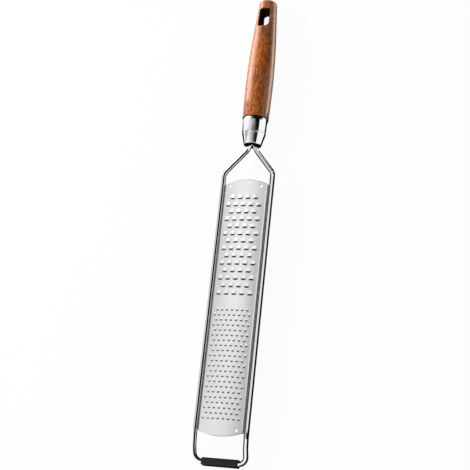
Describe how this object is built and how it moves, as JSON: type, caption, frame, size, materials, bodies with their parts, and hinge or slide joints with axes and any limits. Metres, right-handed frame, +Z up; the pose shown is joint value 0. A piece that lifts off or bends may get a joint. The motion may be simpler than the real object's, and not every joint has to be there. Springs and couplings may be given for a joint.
{
  "type": "rasp zester",
  "caption": "Rasp zester: arched steel plate with coarse and fine raised teeth on a bent chromed rod frame, with a polished ferrule, a slotted wooden handle and a rubber foot.",
  "frame": {"origin": "middle of the rubber foot's sole, straight below the foot bar's axis, on the surface that the tool lies on", "axes": "+Y from the foot to the handle's end, +Z up out of the toothed side, +X across the tool"},
  "size_m": [0.0452, 0.3843, 0.0224],
  "materials": {
    "rod_chrome": "polished plating",
    "foot_rubber": "satin moulded",
    "plate_steel": "fine brushed, bright",
    "weld_steel": "as welded",
    "ferrule_steel": "mirror polished",
    "handle_wood": "oiled, satin",
    "resin": "cured filler"
  },
  "bodies": {
    "root": {"frame_wire": "rod_chrome", "rubber_foot": "foot_rubber", "grater_plate": "plate_steel", "plate_welds": "weld_steel", "ferrule": "ferrule_steel", "handle": "handle_wood", "tang_resin": "resin"}
  },
  "joints": []
}
